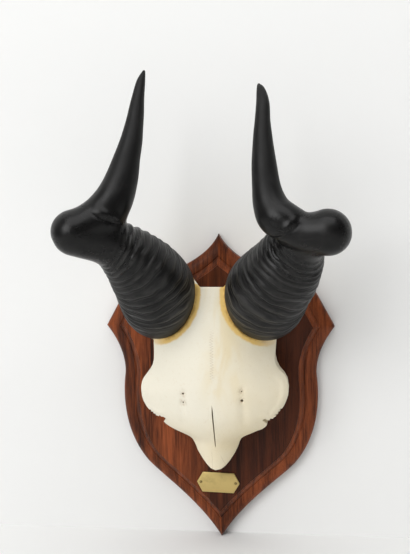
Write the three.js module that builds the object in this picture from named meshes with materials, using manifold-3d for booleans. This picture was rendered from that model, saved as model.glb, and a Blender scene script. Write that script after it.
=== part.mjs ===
// A hartebeest's skull cap with both horns, fixed on a moulded wooden shield.
// Millimetres, +Z up, the front faces -Y. The origin is the centre of the shield's flat back.
import * as THREE from 'three';
import { mergeVertices } from 'three/addons/utils/BufferGeometryUtils.js';
import Module from 'manifold-3d';

const wasm = await Module();
wasm.setup();

// Driving dimensions
const TOUCH_GAP = 0.3;

// How far a cutter runs past the surface that it opens.
const PAST = 1;

const SHIELD_THICKNESS = 23;
const SHIELD_TOP = 165;
const SHIELD_TIP = -163.5;
const SHIELD_EAR = [120.2, 68.3];
const SHIELD_SIDE = 8.5;
const EDGE_POINTS = 13;

// The right half of the outline above the ear and below it: straight stretches and curves by control points.
const UPPER_EDGE = [
  [[0, SHIELD_TOP], [10.5, 142.5], [50, 125.5]],
  [[50, 125.5], [72, 116], [94, 116], [103, 99.6]],
  [[103, 99.6], SHIELD_EAR],
];
const LOWER_EDGE = [
  [SHIELD_EAR, [101, 43], [101.5, 18]],
  [[101.5, 18], [106.5, -16], [101, -52], [80, -78.5]],
  [[80, -78.5], [65.5, -95.5], [25.5, -122], [0, SHIELD_TIP]],
];

// The moulding from the back edge to the raised panel: how far in, and how deep in front of the wall.
const MOULDING = [
  [0, 0],
  [0, SHIELD_SIDE],
  [4, SHIELD_SIDE + 4.5],
  [12.9, SHIELD_SIDE + 6.4],
  [16, SHIELD_SIDE + 10.4],
  [18.6, SHIELD_SIDE + 13.2],
  [19.4, SHIELD_THICKNESS],
];

const LABEL_CENTRE = { x: -1.6, z: -97.7 };
const LABEL_TURN = THREE.MathUtils.degToRad(-1.8);
const LABEL_THICKNESS = 1.2;
const LABEL_HALF = { length: 22.7, flat: 16.6, height: 10.9 };
const PIN_SPACING = 37;
const PIN_HEAD = { radius: 1.5, height: 0.8 };
const PIN_SHANK = { radius: 0.6, length: 8, point: 1 };

const HANGER_Z = 108;
const HANGER = { length: 42, height: 16, thickness: 1.6 };
const KEYHOLE = { radius: 3.5, slot: 2.4, drop: 2.5, slotTop: 3.5 };
const NAIL_SPACE = { length: 18, height: 11, depth: 9 };
const HANGER_SCREW_SPACING = 32;
const HANGER_SCREW = { head: 3.2, shank: 1.6, length: 13 };

const SKULL_SCREWS = { upper: { x: 0, z: 92 }, left: { x: -20, z: 12 }, right: { x: 20, z: 12 } };
const SKULL_SCREW = { head: 4.6, shank: 2.2, length: 38, recess: 2.5 };

// The screws' drive slots: length and width as shares of the head's radius, and depth.
const DRIVE_SLOT = { length: 1.5, width: 0.28, depth: 1 };

// Sections of the bone's domed front: height, depth on the middle line, half width, and fall at that width.
const CROWN_DEPTH = 84;
const DOME = [
  [134, 79, 62, 22],
  [100, 81, 62, 24],
  [64, 83, 62, 23],
  [40, CROWN_DEPTH, 66, 20],
  [15, CROWN_DEPTH, 74, 18],
  [-4, 81.5, 66, 17],
  [-15, 79, 54, 14],
  [-28, 73.5, 46, 15],
  [-41, 66, 26, 16],
  [-55, 61, 20, 11],
  [-68, 57, 14, 7],
  [-84, 52, 8, 4],
];
const DOME_REACH = 84;
const DOME_STEPS = { up: 17, across: 12 };

// The cap's outline from the front, down the picture's right side and up its left one: sawn top, sides
// behind the horns, eye socket rims, the notch and tab beside the nose, and the nasal bones.
const CAP_OUTLINE = [
  [12, 122], [40, 124], [62, 104], [64, 84], [61.6, 63.5], [60.3, 47], [61.6, 41], [65, 35.5], [69.5, 31],
  [72.7, 26], [74.1, 17.8], [73.6, 10], [71.9, 4.5], [67.2, -4.5], [60.6, -13.4], [54.6, -16.8],
  [51.6, -15.2], [48, -15], [52.2, -20.8], [50.2, -25.6], [46.9, -28.4], [38.6, -31.6], [29.1, -36.4],
  [23.8, -43.5], [21.8, -49.5], [18.4, -56.2], [13.6, -63.6], [9, -69], [4.2, -72.4], [-1.4, -73.4],
  [-6.4, -71.4], [-10.6, -67], [-15.1, -61], [-19.4, -53.8], [-22.4, -47], [-25.6, -40.8],
  [-35.2, -33.4], [-46.8, -26.6], [-52.6, -21.4], [-49.4, -17], [-54.4, -15], [-59.3, -14.8],
  [-64.2, -10.9], [-70.1, -5], [-72.6, 0], [-74.1, 6.5], [-74.4, 15.5], [-73.6, 21], [-71.6, 25.4],
  [-68.2, 30], [-64.4, 35], [-61.7, 40], [-60.7, 45], [-61.4, 63.5], [-64, 84], [-62, 104], [-40, 124],
  [-12.4, 122],
];
const SAWN_BACK = SHIELD_THICKNESS + TOUCH_GAP;
const BONE_REACH = 100;

// The gap sawn between the horns, widening upwards and running down towards the back.
const TOP_CUT = { halfWidth: 11.7, z: 122, flare: 20, height: 42, fall: 0.35, depth: 120 };

// Hollows of each side and under the nose, as ellipsoids.
const EYE_SOCKET = { centre: { x: 76, z: 12, depth: 30 }, radii: { x: 40, z: 38, depth: 27 } };
const TEMPLE_HOLLOW = { centre: { x: 80, z: 58, depth: 28 }, radii: { x: 34, z: 26, depth: 24 } };
const NOSE_HOLLOW = { centre: { x: 0, z: -76, depth: 22 }, radii: { x: 26, z: 56, depth: 26 } };

// The small holes above the eye sockets.
const FORAMINA = [{ x: -29.7, z: 13.5 }, { x: -29.9, z: 4.2 }, { x: 28.6, z: 16.6 }, { x: 28.5, z: 7.1 }];
const FORAMEN = { radius: 1.4, floor: 70 };

// The open split along the nasal bones.
const CRACK = [[-1, 3], [-0.7, -22], [0, -46], [0.6, -22]];
const CRACK_FLOOR = 58;

// Stations of a horn: sideways from the middle, height, depth in front of the wall, and radius.
const HORNS = {
  left: {
    side: -1,
    column: [
      [56.5, 96.5, 40, 36.5],
      [55, 103.5, 62, 37.5],
      [56, 119.5, 86, 37.6],
      [61.6, 139, 107, 34.2],
      [71.6, 155, 121, 28.8],
      [84, 166.8, 134, 23],
      [98, 174, 147, 19.8],
      [114.5, 180, 155, 20.8],
    ],
    tip: [
      [115, 180.5, 155, 21.4],
      [104, 185.5, 151, 19.5],
      [94, 192.5, 146, 19.4],
      [85.5, 202.5, 142, 18.7],
      [79, 214, 139, 17.2],
      [74.2, 227.5, 136, 15.2],
      [70.2, 244, 132, 12.6],
      [66.1, 262, 127, 10.2],
      [63.5, 281, 121, 8],
      [61.5, 299.5, 115, 6],
      [59.5, 315, 109, 4],
      [57, 325, 105, 1.6],
    ],
  },
  right: {
    side: 1,
    column: [
      [47.5, 98, 40, 38.5],
      [50.6, 105, 62, 40.6],
      [56.2, 118.6, 86, 40.6],
      [68.8, 137.5, 105, 36],
      [80.8, 156.3, 121, 29.6],
      [91, 171, 138, 20.5],
      [101.5, 178, 150, 19.5],
      [111, 180.5, 157, 21],
    ],
    tip: [
      [111, 180.5, 157, 21],
      [98, 181.5, 157, 15.8],
      [85.5, 183, 156, 15.2],
      [75, 188.5, 155, 17.3],
      [65.5, 195, 152, 17.8],
      [60.2, 205.5, 149, 15.4],
      [56.9, 219.5, 146, 12.9],
      [54.8, 238.5, 142, 11.3],
      [53.8, 258, 137, 9.2],
      [53.3, 277, 131, 7.3],
      [53.1, 293, 124, 6.2],
      [51, 304.5, 116, 4.4],
      [48.6, 310.5, 111, 1.6],
    ],
  },
};
const HORN_SIDES = 20;
const TIP_SIDES = 16;
const TIP_STEPS = 15;
const CORE_SIDES = 12;

// Rings grown on the horn's lower part, between two places on its line.
const RIDGED = { from: 0.26, to: 0.8, count: 11, depth: 0.045 };

// The plane of a horn's rim: its depth on the middle line, and how it falls towards the side.
const RIM_PLANE_DEPTH = 85;
const RIM_PLANE_SLOPE = 0.32;
const POCKET_DEPTH = 12;

// The pedicle's root from the horn's first station: sideways, height, then depth and radius.
const PEDICLE_ROOT = [[-10, -5, SAWN_BACK + 4, 29], [-5, -1, 44, 34.5]];
const PEDICLE_RIM = 0.4;

// The core stub inside the horn, as a share of the horn's radius, and how far it starts behind the rim.
const CORE_SHARE = 0.72;
const CORE_ROOT = 20;

// Solids

function solidFrom(geometry) {
  const bare = geometry.index ? geometry.toNonIndexed() : geometry.clone();
  for (const name of Object.keys(bare.attributes)) {
    if (name !== 'position') bare.deleteAttribute(name);
  }
  const merged = mergeVertices(bare, 0.001);
  return new wasm.Manifold(new wasm.Mesh({
    numProp: 3,
    vertProperties: merged.attributes.position.array,
    triVerts: new Uint32Array(merged.index.array),
  }));
}

// A solid whose faces point outwards, whichever way round its outline was drawn.
function closedBody(geometry) {
  const solid = solidFrom(geometry);
  if (solid.volume() > 0) return solid;
  const faces = geometry.index.array;
  for (let i = 0; i < faces.length; i += 3) {
    [faces[i + 1], faces[i + 2]] = [faces[i + 2], faces[i + 1]];
  }
  return solidFrom(geometry);
}

function geometryFrom(solid) {
  const mesh = solid.getMesh();
  const geometry = new THREE.BufferGeometry();
  geometry.setAttribute('position', new THREE.BufferAttribute(new Float32Array(mesh.vertProperties), 3));
  geometry.setIndex(new THREE.BufferAttribute(new Uint32Array(mesh.triVerts), 1));
  geometry.computeVertexNormals();
  return geometry;
}

// A closed body through rings that all have the same number of points.
function loft(rings) {
  const count = rings[0].length;
  const centre = (ring) => ring.reduce((sum, p) => sum.add(p), new THREE.Vector3()).divideScalar(count);
  const points = [centre(rings[0]), ...rings.flat(), centre(rings.at(-1))];
  const last = points.length - 1;
  const faces = [];
  for (let i = 0; i < count; i++) {
    const next = (i + 1) % count;
    faces.push(0, 1 + i, 1 + next);
    for (let ring = 0; ring < rings.length - 1; ring++) {
      const here = 1 + ring * count;
      const there = here + count;
      faces.push(here + i, there + i, there + next);
      faces.push(here + i, there + next, here + next);
    }
    const end = 1 + (rings.length - 1) * count;
    faces.push(last, end + next, end + i);
  }
  const geometry = new THREE.BufferGeometry().setFromPoints(points);
  geometry.setIndex(faces);
  return closedBody(geometry);
}

// A front-view outline in x and z, extruded from one depth in front of the wall to another.
function slab(shape, fromDepth, toDepth) {
  const geometry = new THREE.ExtrudeGeometry(shape, {
    depth: toDepth - fromDepth,
    bevelEnabled: false,
    curveSegments: 6,
  });
  geometry.rotateX(Math.PI / 2);
  geometry.translate(0, -fromDepth, 0);
  return solidFrom(geometry);
}

function disc(centre, radius, fromDepth, toDepth, sides = 12) {
  const geometry = new THREE.CylinderGeometry(radius, radius, toDepth - fromDepth, sides);
  geometry.translate(centre.x, -(fromDepth + toDepth) / 2, centre.z);
  return solidFrom(geometry);
}

function ellipsoid({ centre, radii }, side = 1) {
  const geometry = new THREE.SphereGeometry(1, 14, 10);
  geometry.scale(radii.x, radii.depth, radii.z);
  geometry.translate(side * centre.x, -centre.depth, centre.z);
  return solidFrom(geometry);
}

function outline(points) {
  return new THREE.Shape(points.map(([x, z]) => new THREE.Vector2(x, z)));
}

function rectangle(centre, length, height) {
  const corners = [[-1, -1], [1, -1], [1, 1], [-1, 1]];
  return outline(corners.map(([a, b]) => [centre.x + (a * length) / 2, centre.z + (b * height) / 2]));
}

// A turned piece whose profile gives radius and depth in front of the wall.
function turned(profile, centre, sides) {
  const geometry = new THREE.LatheGeometry(profile.map(([radius, depth]) => new THREE.Vector2(radius, -depth)), sides);
  geometry.translate(centre.x, 0, centre.z);
  return closedBody(geometry);
}

// Shield

const CURVES = { 2: THREE.LineCurve, 3: THREE.QuadraticBezierCurve, 4: THREE.CubicBezierCurve };
const EDGE_STEPS = 90;

function edgePoints(stretches) {
  const path = new THREE.CurvePath();
  for (const stretch of stretches) {
    const Curve = CURVES[stretch.length];
    path.add(new Curve(...stretch.map(([x, z]) => new THREE.Vector2(x, z))));
  }
  return path.getSpacedPoints(EDGE_STEPS);
}

// An edge moved inwards and drawn out straight at both ends, far enough to meet its neighbours.
function insetEdge(edge, distance) {
  const moved = edge.map((point, i) => {
    const before = edge[Math.max(i - 1, 0)];
    const after = edge[Math.min(i + 1, edge.length - 1)];
    const inwards = new THREE.Vector2(after.y - before.y, before.x - after.x).normalize();
    return point.clone().addScaledVector(inwards, distance);
  });
  const reach = 2 * SHIELD_THICKNESS;
  const drawnOut = (end, next) => end.clone().add(end.clone().sub(next).setLength(reach));
  return [drawnOut(moved[0], moved[1]), ...moved, drawnOut(moved.at(-1), moved.at(-2))];
}

function crossing(a, b, c, d) {
  const first = b.clone().sub(a);
  const second = d.clone().sub(c);
  const between = c.clone().sub(a);
  const scale = first.cross(second);
  const along = between.cross(second) / scale;
  const across = between.cross(first) / scale;
  const inside = (share) => share >= 0 && share <= 1;
  return inside(along) && inside(across) ? a.clone().addScaledVector(first, along) : null;
}

// The part of one edge between the places where two others cross it, as evenly spaced points.
function mitred(edge, startCutter, endCutter) {
  const meet = (cutter) => {
    for (let i = 0; i < edge.length - 1; i++) {
      for (let k = 0; k < cutter.length - 1; k++) {
        const point = crossing(edge[i], edge[i + 1], cutter[k], cutter[k + 1]);
        if (point) return { i, point };
      }
    }
    throw new Error('two edges of the shield do not meet');
  };
  const start = meet(startCutter);
  const end = meet(endCutter);
  const path = new THREE.CurvePath();
  const points = [start.point, ...edge.slice(start.i + 1, end.i + 1), end.point];
  points.slice(1).forEach((point, i) => path.add(new THREE.LineCurve(points[i], point)));
  return path.getSpacedPoints(EDGE_POINTS);
}

// The whole outline moved inwards, mitred at the top, the ears and the tip.
function shieldOutline(inset) {
  const upper = insetEdge(edgePoints(UPPER_EDGE), inset);
  const lower = insetEdge(edgePoints(LOWER_EDGE), inset);
  const middle = [new THREE.Vector2(0, SHIELD_TOP * 2), new THREE.Vector2(0, SHIELD_TIP * 2)];
  const right = [...mitred(upper, middle, lower).slice(0, -1), ...mitred(lower, upper, middle)];
  const left = right.slice(1, -1).reverse().map((p) => new THREE.Vector2(-p.x, p.y));
  return [...right, ...left];
}

function shield() {
  const rings = MOULDING.map(([inset, depth]) =>
    shieldOutline(inset).map((p) => new THREE.Vector3(p.x, -depth, p.y)));
  let board = loft(rings);
  const headFloor = SKULL_SCREW.recess + SKULL_SCREW.head - SKULL_SCREW.shank + TOUCH_GAP;
  for (const centre of Object.values(SKULL_SCREWS)) {
    board = board.subtract(disc(centre, SKULL_SCREW.shank + TOUCH_GAP, -PAST, SHIELD_THICKNESS + PAST));
    board = board.subtract(disc(centre, SKULL_SCREW.head + TOUCH_GAP, -PAST, headFloor));
  }
  const middle = { x: 0, z: HANGER_Z };
  const seat = rectangle(middle, HANGER.length + 2 * TOUCH_GAP, HANGER.height + 2 * TOUCH_GAP);
  board = board.subtract(slab(seat, -PAST, HANGER.thickness + TOUCH_GAP));
  board = board.subtract(slab(rectangle(middle, NAIL_SPACE.length, NAIL_SPACE.height), -PAST, NAIL_SPACE.depth));
  for (const side of [-1, 1]) {
    const screwFloor = HANGER_SCREW.length + 2 * TOUCH_GAP;
    board = board.subtract(disc(hangerScrewCentre(side), HANGER_SCREW.shank + TOUCH_GAP, -PAST, screwFloor));
    const pinFloor = SHIELD_THICKNESS - PIN_SHANK.length - TOUCH_GAP;
    board = board.subtract(disc(pinCentre(side), PIN_SHANK.radius + TOUCH_GAP, pinFloor, SHIELD_THICKNESS + PAST, 10));
  }
  return board;
}

// Label plate

function labelPoint(along, up) {
  const c = Math.cos(LABEL_TURN);
  const s = Math.sin(LABEL_TURN);
  return { x: LABEL_CENTRE.x + along * c - up * s, z: LABEL_CENTRE.z + along * s + up * c };
}

function pinCentre(side) {
  return labelPoint((side * PIN_SPACING) / 2, 0);
}

function labelPlate() {
  const { length, flat, height } = LABEL_HALF;
  const corners = [[-length, 0], [-flat, -height], [flat, -height], [length, 0], [flat, height], [-flat, height]];
  const shape = outline(corners.map(([along, up]) => Object.values(labelPoint(along, up))));
  const back = SHIELD_THICKNESS + TOUCH_GAP;
  const front = back + LABEL_THICKNESS;
  let plate = slab(shape, back, front);
  for (const side of [-1, 1]) {
    plate = plate.subtract(disc(pinCentre(side), PIN_SHANK.radius + TOUCH_GAP, back - PAST, front + PAST, 10));
  }
  return plate;
}

function labelPin(side) {
  const seat = SHIELD_THICKNESS + LABEL_THICKNESS + 2 * TOUCH_GAP;
  const point = SHIELD_THICKNESS - PIN_SHANK.length;
  const profile = [
    [0, point],
    [PIN_SHANK.radius, point + PIN_SHANK.point],
    [PIN_SHANK.radius, seat],
    [PIN_HEAD.radius, seat],
    [PIN_HEAD.radius * 0.75, seat + PIN_HEAD.height * 0.7],
    [0, seat + PIN_HEAD.height],
  ];
  return turned(profile, pinCentre(side), 8);
}

// Fixings in the back

function countersunkScrew(centre, size, backOfHead) {
  const { head, shank, length } = size;
  const profile = [
    [0, backOfHead],
    [head, backOfHead],
    [shank, backOfHead + head - shank],
    [shank, backOfHead + length - 2 * shank],
    [0, backOfHead + length],
  ];
  const slot = rectangle(centre, head * DRIVE_SLOT.length, head * DRIVE_SLOT.width);
  return turned(profile, centre, 12).subtract(slab(slot, backOfHead - PAST, backOfHead + DRIVE_SLOT.depth));
}

function hangerScrewCentre(side) {
  return { x: (side * HANGER_SCREW_SPACING) / 2, z: HANGER_Z };
}

function hangerPlate() {
  const radius = HANGER.height / 2;
  const shape = new THREE.Shape();
  shape.absarc(HANGER.length / 2 - radius, HANGER_Z, radius, -Math.PI / 2, Math.PI / 2);
  shape.absarc(-HANGER.length / 2 + radius, HANGER_Z, radius, Math.PI / 2, Math.PI * 1.5);
  const through = HANGER.thickness + PAST;
  const keyhole = { x: 0, z: HANGER_Z - KEYHOLE.drop };
  const slotHeight = KEYHOLE.drop + KEYHOLE.slotTop;
  const slot = rectangle({ x: 0, z: keyhole.z + slotHeight / 2 }, KEYHOLE.slot, slotHeight);
  let plate = slab(shape, 0, HANGER.thickness)
    .subtract(disc(keyhole, KEYHOLE.radius, -PAST, through))
    .subtract(slab(slot, -PAST, through));
  for (const side of [-1, 1]) {
    plate = plate.subtract(disc(hangerScrewCentre(side), HANGER_SCREW.head + TOUCH_GAP, -PAST, through));
  }
  return plate;
}

// Horns

// A round body along a smooth line through the stations, with a ring at each place of a list from 0 to 1.
function roundTube(stations, side, places, { sides, roundStart = false, roundEnd = false, swell = () => 1 }) {
  const line = new THREE.CatmullRomCurve3(stations.map(([x, z, depth]) => new THREE.Vector3(side * x, -depth, z)));
  const sizes = new THREE.SplineCurve(stations.map(([, , , radius], i) => new THREE.Vector2(i, radius)));
  const slices = places.map((t) => (
    { centre: line.getPoint(t), along: line.getTangent(t), radius: sizes.getPoint(t).y * swell(t) }
  ));
  const grown = (slice, sign, share) => ({
    centre: slice.centre.clone().addScaledVector(slice.along, sign * slice.radius * share),
    along: slice.along,
    radius: slice.radius * Math.sqrt(1 - share * share),
  });
  const first = slices[0];
  const last = slices.at(-1);
  if (roundStart) slices.unshift(...[0.93, 0.6].map((share) => grown(first, -1, share)));
  if (roundEnd) slices.push(...[0.4, 0.72, 0.93].map((share) => grown(last, 1, share)));
  let across = new THREE.Vector3(0, 0, 1);
  const rings = slices.map(({ centre, along, radius }) => {
    across = across.clone().addScaledVector(along, -across.dot(along)).normalize();
    const up = new THREE.Vector3().crossVectors(along, across);
    return Array.from({ length: sides }, (_, k) => {
      const angle = (2 * Math.PI * k) / sides;
      return centre.clone()
        .addScaledVector(across, radius * Math.cos(angle))
        .addScaledVector(up, radius * Math.sin(angle));
    });
  });
  return loft(rings);
}

function evenPlaces(count, from = 0, to = 1) {
  return Array.from({ length: count + 1 }, (_, i) => from + ((to - from) * i) / count);
}

// The smooth stretch between the rim and the first ring.
const rootPlaces = evenPlaces(3, 0, RIDGED.from).slice(0, -1);

function ridgeSwell(t) {
  if (t < RIDGED.from || t > RIDGED.to) return 1;
  const turn = RIDGED.count * ((t - RIDGED.from) / (RIDGED.to - RIDGED.from));
  return 1 - RIDGED.depth * 0.5 * (1 - Math.cos(2 * Math.PI * turn));
}

// Everything in front of the plane in which the horn's rim lies.
function aheadOfRim(side, clearance) {
  const size = 1000;
  const geometry = new THREE.BoxGeometry(size, size, size);
  geometry.translate(0, -size / 2, 0);
  geometry.rotateZ(side * Math.atan(RIM_PLANE_SLOPE));
  geometry.translate(0, -(RIM_PLANE_DEPTH + clearance), 0);
  return solidFrom(geometry);
}

function coreStub({ side, column }, grow) {
  const core = column.slice(0, 4).map(([x, z, depth, radius]) => [x, z, depth, radius * CORE_SHARE + grow]);
  return roundTube(core, side, evenPlaces(5), { sides: CORE_SIDES });
}

function horn({ side, column, tip }) {
  const places = [
    ...rootPlaces,
    ...evenPlaces(RIDGED.count * 2, RIDGED.from, RIDGED.to),
    ...evenPlaces(2, RIDGED.to, 1).slice(1),
  ];
  const base = roundTube(column, side, places, { sides: HORN_SIDES, roundEnd: true, swell: ridgeSwell });
  const leg = roundTube(tip, side, evenPlaces(TIP_STEPS), { sides: TIP_SIDES, roundStart: true, roundEnd: true });
  const sheath = base.add(leg).intersect(aheadOfRim(side, 0));
  const pocket = coreStub({ side, column }, TOUCH_GAP).subtract(aheadOfRim(side, POCKET_DEPTH + TOUCH_GAP));
  return sheath.subtract(pocket);
}

// Skull cap

function dome() {
  const heights = new THREE.SplineCurve(DOME.map(([z, depth]) => new THREE.Vector2(z, depth)));
  const falls = new THREE.SplineCurve(DOME.map(([, , halfWidth, fall]) => new THREE.Vector2(halfWidth, fall)));
  const rings = evenPlaces(DOME_STEPS.up).map((t) => {
    const { x: z, y: depth } = heights.getPoint(t);
    const { x: halfWidth, y: fall } = falls.getPoint(t);
    const front = evenPlaces(DOME_STEPS.across, -DOME_REACH, DOME_REACH).map((x) => {
      const drop = Math.min(fall * (x / halfWidth) ** 2, depth - SAWN_BACK - 1);
      return new THREE.Vector3(x, drop - depth, z);
    });
    return [...front, new THREE.Vector3(DOME_REACH, -SAWN_BACK, z), new THREE.Vector3(-DOME_REACH, -SAWN_BACK, z)];
  });
  return loft(rings);
}

function pedicle({ side, column }) {
  const [x0, z0] = column[0];
  const root = [
    ...PEDICLE_ROOT.map(([x, z, depth, radius]) => [x0 + x, z0 + z, depth, radius]),
    ...column.slice(1, 3).map(([x, z, depth, radius]) => [x, z, depth, radius + PEDICLE_RIM]),
  ];
  return roundTube(root, side, evenPlaces(4), { sides: 18 }).subtract(aheadOfRim(side, -TOUCH_GAP));
}

function topCut() {
  const { halfWidth, z, flare, height, fall, depth } = TOP_CUT;
  const wide = halfWidth + flare;
  const shape = outline([[-halfWidth, z], [halfWidth, z], [wide, z + height], [-wide, z + height]]);
  const geometry = new THREE.ExtrudeGeometry(shape, { depth, bevelEnabled: false });
  geometry.rotateX(Math.PI / 2);
  const { array } = geometry.attributes.position;
  for (let i = 0; i < array.length; i += 3) {
    array[i + 2] -= fall * (CROWN_DEPTH + array[i + 1]);
  }
  return solidFrom(geometry);
}

// Everything behind the flat back of the bone.
function behindBone() {
  const size = 1000;
  const geometry = new THREE.BoxGeometry(size, size, size);
  geometry.translate(0, size / 2 - SAWN_BACK, 0);
  return solidFrom(geometry);
}

// The horn's outer form ahead of its rim, grown by the touching gap.
function hornEnvelope({ side, column }) {
  const grown = column.map(([x, z, depth, radius]) => [x, z, depth, radius + 1.5 * TOUCH_GAP]);
  const places = [...rootPlaces, RIDGED.from, 0.4, 0.55];
  return roundTube(grown, side, places, { sides: HORN_SIDES }).intersect(aheadOfRim(side, -TOUCH_GAP));
}

function skullCap() {
  const horns = Object.values(HORNS);
  let bone = slab(outline(CAP_OUTLINE), SAWN_BACK, BONE_REACH).intersect(dome());
  for (const spec of horns) bone = bone.add(pedicle(spec));
  bone = bone.subtract(behindBone()).subtract(topCut());
  for (const spec of horns) {
    const stub = coreStub(spec, 0)
      .subtract(aheadOfRim(spec.side, POCKET_DEPTH))
      .intersect(aheadOfRim(spec.side, -CORE_ROOT));
    bone = bone.subtract(hornEnvelope(spec)).add(stub);
    bone = bone.subtract(ellipsoid(EYE_SOCKET, spec.side)).subtract(ellipsoid(TEMPLE_HOLLOW, spec.side));
  }
  bone = bone.subtract(ellipsoid(NOSE_HOLLOW)).subtract(slab(outline(CRACK), CRACK_FLOOR, BONE_REACH));
  for (const centre of FORAMINA) {
    bone = bone.subtract(disc(centre, FORAMEN.radius, FORAMEN.floor, BONE_REACH, 8));
  }
  for (const centre of Object.values(SKULL_SCREWS)) {
    const reach = SKULL_SCREW.recess + SKULL_SCREW.length + TOUCH_GAP;
    bone = bone.subtract(disc(centre, SKULL_SCREW.shank + TOUCH_GAP, 0, reach));
  }
  return bone;
}

// Finishes

const finish = (color, roughness, metalness = 0) => new THREE.MeshStandardMaterial({ color, roughness, metalness });
const MAHOGANY = finish(0x4a2016, 0.4);
const BONE = finish(0xe9dfc8, 0.65);
const HORN = finish(0x1d1c1c, 0.42);
const BRASS = finish(0xc2a35c, 0.32, 1);
const STEEL = finish(0x9a9a9c, 0.4, 1);

const trophy = new THREE.Group();

function add(name, solid, material) {
  const mesh = new THREE.Mesh(geometryFrom(solid), material.clone());
  mesh.name = name;
  trophy.add(mesh);
}

add('plaque', shield(), MAHOGANY);
add('skull_plate', skullCap(), BONE);
for (const [name, spec] of Object.entries(HORNS)) add(`horn_${name}`, horn(spec), HORN);
add('label_plate', labelPlate(), BRASS);
add('hanger_plate', hangerPlate(), STEEL);
for (const [name, { side }] of Object.entries(HORNS)) {
  add(`label_pin_${name}`, labelPin(side), BRASS);
  add(`hanger_screw_${name}`, countersunkScrew(hangerScrewCentre(side), HANGER_SCREW, TOUCH_GAP), STEEL);
}
for (const [name, centre] of Object.entries(SKULL_SCREWS)) {
  add(`skull_screw_${name}`, countersunkScrew(centre, SKULL_SCREW, SKULL_SCREW.recess), STEEL);
}

export default trophy;
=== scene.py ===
# A hartebeest's skull cap with both horns on a moulded mahogany shield, dressed around its solids.
# Places and sizes in the tables are millimetres in the part's frame; objects are made in metres.
import math

import bmesh
import bpy
import numpy as np
from mathutils import Matrix, Vector, noise
from mathutils.geometry import interpolate_bezier


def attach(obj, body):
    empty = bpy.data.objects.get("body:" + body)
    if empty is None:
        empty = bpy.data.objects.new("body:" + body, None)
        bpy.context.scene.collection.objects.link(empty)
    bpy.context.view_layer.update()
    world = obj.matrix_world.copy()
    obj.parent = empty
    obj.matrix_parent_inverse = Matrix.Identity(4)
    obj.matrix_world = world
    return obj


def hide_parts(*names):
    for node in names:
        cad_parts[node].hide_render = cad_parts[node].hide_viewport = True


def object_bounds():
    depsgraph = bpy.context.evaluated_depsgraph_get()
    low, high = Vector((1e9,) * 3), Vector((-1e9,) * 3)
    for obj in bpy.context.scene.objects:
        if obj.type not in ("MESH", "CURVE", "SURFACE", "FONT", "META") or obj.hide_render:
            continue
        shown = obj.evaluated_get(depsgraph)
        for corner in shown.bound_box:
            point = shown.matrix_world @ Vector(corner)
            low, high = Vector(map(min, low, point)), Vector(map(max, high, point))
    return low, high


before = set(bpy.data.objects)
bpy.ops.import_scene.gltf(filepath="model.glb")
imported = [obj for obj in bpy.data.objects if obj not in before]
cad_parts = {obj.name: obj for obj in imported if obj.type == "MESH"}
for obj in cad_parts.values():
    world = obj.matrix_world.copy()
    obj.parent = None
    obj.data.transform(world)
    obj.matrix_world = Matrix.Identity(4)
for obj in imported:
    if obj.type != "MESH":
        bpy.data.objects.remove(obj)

bl_info = {
    "name": "Mounted hartebeest skull",
    "version": (1, 0, 0),
    "blender": (4, 5, 0),
    "location": "3D View > Sidebar > Trophy",
    "description": "Models the skull cap, horns, shield, label and fixings of a wall trophy",
    "category": "Add Mesh",
}

MM = 0.001
CAD_LOW, CAD_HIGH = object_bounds()

# Shield outline and moulding
SHIELD_TOP = 165
SHIELD_TIP = -163.5
SHIELD_EAR = (120.2, 68.3)
SHIELD_THICKNESS = 23
SHIELD_SIDE = 8.5
SKULL_SCREWS = {"upper": (0, 92), "left": (-20, 12), "right": (20, 12)}
HANGER_Z = 108
TOUCH_GAP = 0.3
SIDES = {"left": -1, "right": 1}

# Bone
SAWN_BACK = SHIELD_THICKNESS + TOUCH_GAP
SAWN_TOP = 122
SAWN_TOP_HALF_WIDTH = 11.7
CROWN_DEPTH = 84
BONE_REACH = 100
FORAMINA = ((-29.7, 13.5, 1.3), (-29.9, 4.2, 1.0), (28.6, 16.6, 0.9), (28.5, 7.1, 1.8))

# Horn stations: sideways from the middle, height, depth in front of the wall, radius
HORNS = {
    "left": {
        "side": -1,
        "column": (
            (56.5, 96.5, 40, 36.5), (55, 103.5, 62, 37.5), (54.6, 120.6, 86, 38.5), (61.2, 139.4, 107, 34.5),
            (71.6, 155, 121, 28.8), (84, 166.8, 134, 23), (98, 174, 147, 19.8), (114.5, 180, 155, 20.8),
        ),
        "tip": (
            (115, 180.5, 155, 21.4), (104, 185.5, 151, 19.5), (94, 192.5, 146, 19.4), (85.5, 202.5, 142, 18.7),
            (79, 214, 139, 17.2), (74.2, 227.5, 136, 15.2), (70.2, 244, 132, 12.6), (66.1, 262, 127, 10.2),
            (63.5, 281, 121, 8), (61.5, 299.5, 115, 6), (59.5, 315, 109, 4), (57, 325, 105, 1.6),
        ),
    },
    "right": {
        "side": 1,
        "column": (
            (47.5, 98, 40, 38.5), (50.9, 105.3, 62, 40.2), (55.6, 119.8, 86, 40.4), (68.8, 137.5, 105, 36),
            (80.2, 157, 121, 30.4), (91, 171, 138, 20.5), (101.5, 178, 150, 19.5), (111, 180.5, 157, 21),
        ),
        "tip": (
            (111, 180.5, 157, 21), (104.5, 180.4, 157.3, 19.2), (98, 180.2, 157.4, 17.3), (85.5, 182.4, 156.2, 15.8),
            (75, 188.5, 155, 17.3), (65.5, 195, 152, 17.8), (60.2, 205.5, 149, 15.4), (56.9, 219.5, 146, 12.9),
            (54.8, 238.5, 142, 11.3), (53.8, 258, 137, 9.2), (53.3, 277, 131, 7.3), (53.1, 293, 124, 6.2),
            (51, 304.5, 116, 4.4), (48.6, 310.5, 111, 1.6),
        ),
    },
}
RIM_PLANE_DEPTH = 85
RIM_PLANE_SLOPE = 0.32


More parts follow.
